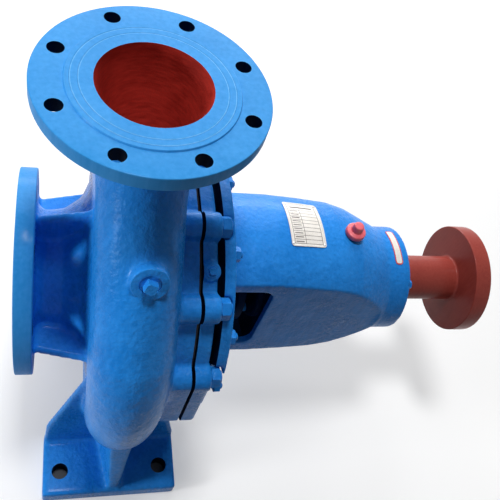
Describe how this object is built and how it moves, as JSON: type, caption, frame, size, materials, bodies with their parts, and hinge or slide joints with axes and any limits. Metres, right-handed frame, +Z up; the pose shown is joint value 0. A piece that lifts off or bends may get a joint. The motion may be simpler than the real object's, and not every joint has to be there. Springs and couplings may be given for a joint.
{
  "type": "end-suction centrifugal pump",
  "caption": "Bare-shaft end-suction centrifugal pump: volute casing on two feet, flanged suction and discharge, bearing bracket and a coupling half on the drive end.",
  "frame": {"origin": "on the floor, under the middle of the pump's box", "axes": "+X along the shaft from the suction flange to the coupling, +Z up along the discharge branch, -Y the side on which the volute is widest"},
  "size_m": [0.6884, 0.4814, 0.635],
  "materials": {
    "blue_enamel": "glossy brushed-on enamel over cast iron",
    "red_primer": "oxide red primer, satin, also inside the casing",
    "bright_steel": "turned steel",
    "cast_metal": "bare casting",
    "gasket_rubber": "black, matt",
    "packing_braid": "graphited square braid",
    "cream_plate": "cream, semi-gloss",
    "red_plastic": "moulded, glossy"
  },
  "bodies": {
    "pump": {"volute_casing": "blue_enamel", "suction_wear_ring": "cast_metal", "casing_gasket": "gasket_rubber", "casing_cover": "blue_enamel", "packing_rings": "packing_braid", "packing_gland": "blue_enamel", "gland_stud_upper": "bright_steel", "gland_stud_lower": "bright_steel", "bearing_bracket": "blue_enamel", "bearing_pump_end": "bright_steel", "bearing_drive_end": "bright_steel", "inner_bearing_cover": "blue_enamel", "outer_bearing_cover": "blue_enamel", "nameplate": "cream_plate", "label_strip": "cream_plate", "oil_filler_plug": "red_plastic", "oil_drain_plug": "blue_enamel", "gauge_plug": "blue_enamel", "flushing_plug": "blue_enamel", "casing_drain_plug": "blue_enamel"},
    "rotor": {"shaft": "bright_steel", "coupling_key": "bright_steel", "shaft_sleeve": "bright_steel", "impeller": "cast_metal", "impeller_nut": "bright_steel", "coupling_half": "red_primer"}
  },
  "joints": [
    {"name": "shaft_spin", "type": "hinge", "parent": "pump", "child": "rotor", "pos_m": [0, 0.00517, 0.28], "axis": [1, 0, 0], "continuous": true}
  ]
}
